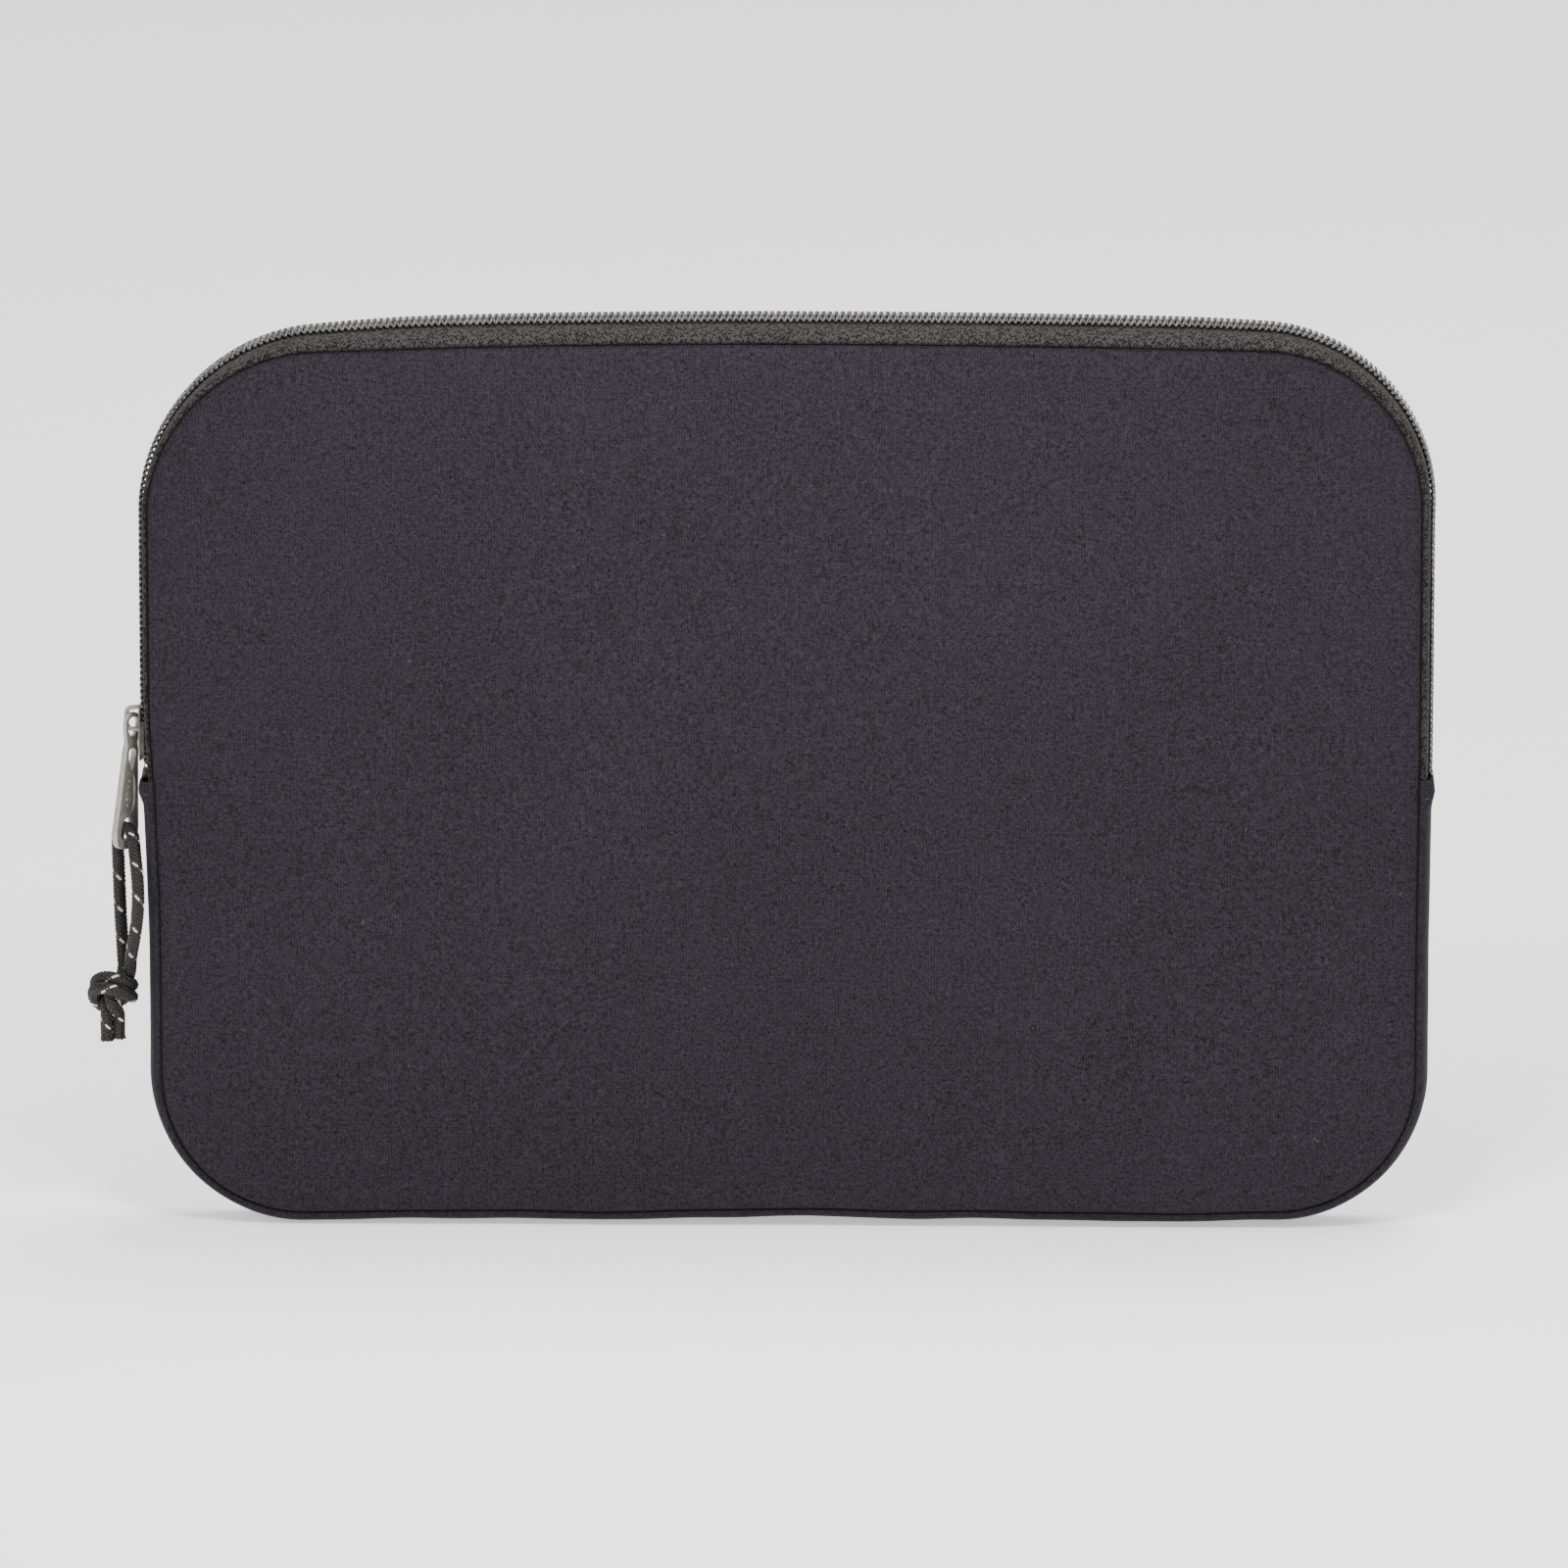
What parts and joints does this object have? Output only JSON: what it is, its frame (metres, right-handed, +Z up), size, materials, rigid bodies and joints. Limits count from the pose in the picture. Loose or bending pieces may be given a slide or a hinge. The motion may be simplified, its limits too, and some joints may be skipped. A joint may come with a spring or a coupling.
{
  "type": "laptop sleeve",
  "caption": "Slim padded sleeve for a laptop, with a zip round its top and upper sides, a swinging pull and a looped cord.",
  "frame": {"origin": "middle of the flat strip under the lower gusset, which the sleeve stands on", "axes": "+X along the width, to the right of the front face; +Y from the front face to the back face; +Z up, from the lower gusset to the zip"},
  "size_m": [0.3594, 0.0252, 0.248],
  "materials": {
    "knit": "matte",
    "foam": "matte",
    "lining": "matte",
    "binding": "matte",
    "thread": "matte",
    "zip_tape": "matte",
    "zip_coil": "satin",
    "slider_metal": "satin",
    "puller_metal": "satin",
    "cord": "satin"
  },
  "bodies": {
    "shell": {"back_face": "knit", "back_foam": "foam", "back_lining": "lining", "front_face_lower": "knit", "front_foam_lower": "foam", "front_lining_lower": "lining", "gusset_face": "knit", "gusset_foam": "foam", "gusset_lining": "lining", "zip_end_tab_left": "knit", "zip_end_tab_right": "knit", "tab_threads": "thread", "binding_back": "binding", "binding_front_lower": "binding", "seam_thread_back": "thread", "seam_thread_front_lower": "thread", "zip_tape_back": "zip_tape", "zip_coil_back": "zip_coil", "coil_thread_back": "thread", "zip_tape_front_ends": "zip_tape", "zip_coil_front_ends": "zip_coil", "coil_thread_front_ends": "thread", "zip_stop": "puller_metal"},
    "flap": {"front_face_upper": "knit", "front_foam_upper": "foam", "front_lining_upper": "lining", "binding_front_upper": "binding", "seam_thread_front_upper": "thread", "zip_tape_front": "zip_tape", "zip_coil_front": "zip_coil", "coil_thread_front": "thread"},
    "slider": {"slider_body": "slider_metal", "slider_bail": "slider_metal"},
    "puller": {"puller": "puller_metal"},
    "cord": {"cord_loop": "cord", "cord_knot": "cord", "cord_tails": "cord"}
  },
  "joints": [
    {"name": "flap_open", "type": "hinge", "parent": "shell", "child": "flap", "pos_m": [0, -0.0115, 0.143], "axis": [1, 0, 0], "range_deg": [0, 110]},
    {"name": "slider_travel", "type": "slide", "parent": "shell", "child": "slider", "axis": [0, 0, 1], "range_m": [0, 0.055], "deforming": ["zip_coil_back", "zip_coil_front", "zip_coil_front_ends"]},
    {"name": "puller_swing", "type": "hinge", "parent": "slider", "child": "puller", "pos_m": [-0.1745, 0, 0.1378], "axis": [0.6142, 0.788, -0.0429], "range_deg": [0, 140]},
    {"name": "cord_swing", "type": "hinge", "parent": "puller", "child": "cord", "pos_m": [-0.17699, 0, 0.10219], "axis": [0.6142, 0.788, -0.0429], "range_deg": [0, 60]}
  ]
}
